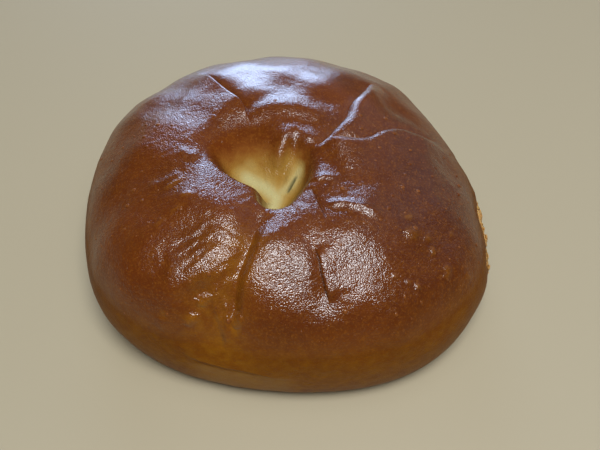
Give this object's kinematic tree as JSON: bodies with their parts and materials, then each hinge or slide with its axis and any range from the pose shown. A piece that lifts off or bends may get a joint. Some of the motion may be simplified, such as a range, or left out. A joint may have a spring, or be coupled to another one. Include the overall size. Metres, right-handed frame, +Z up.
{
  "type": "custard cream bun",
  "caption": "Round glossy baked bun with a sunken pinch in the crown, folds running out from it, a torn patch on its right side and a flat base.",
  "frame": {"origin": "middle of the box around the bun, on the surface it rests on", "axes": "+Z up, +X along the widest way across, +Y away from the side seen in the picture"},
  "size_m": [0.1092, 0.102, 0.0456],
  "materials": {
    "crust": null
  },
  "bodies": {
    "root": {"bun": "crust"}
  },
  "joints": []
}
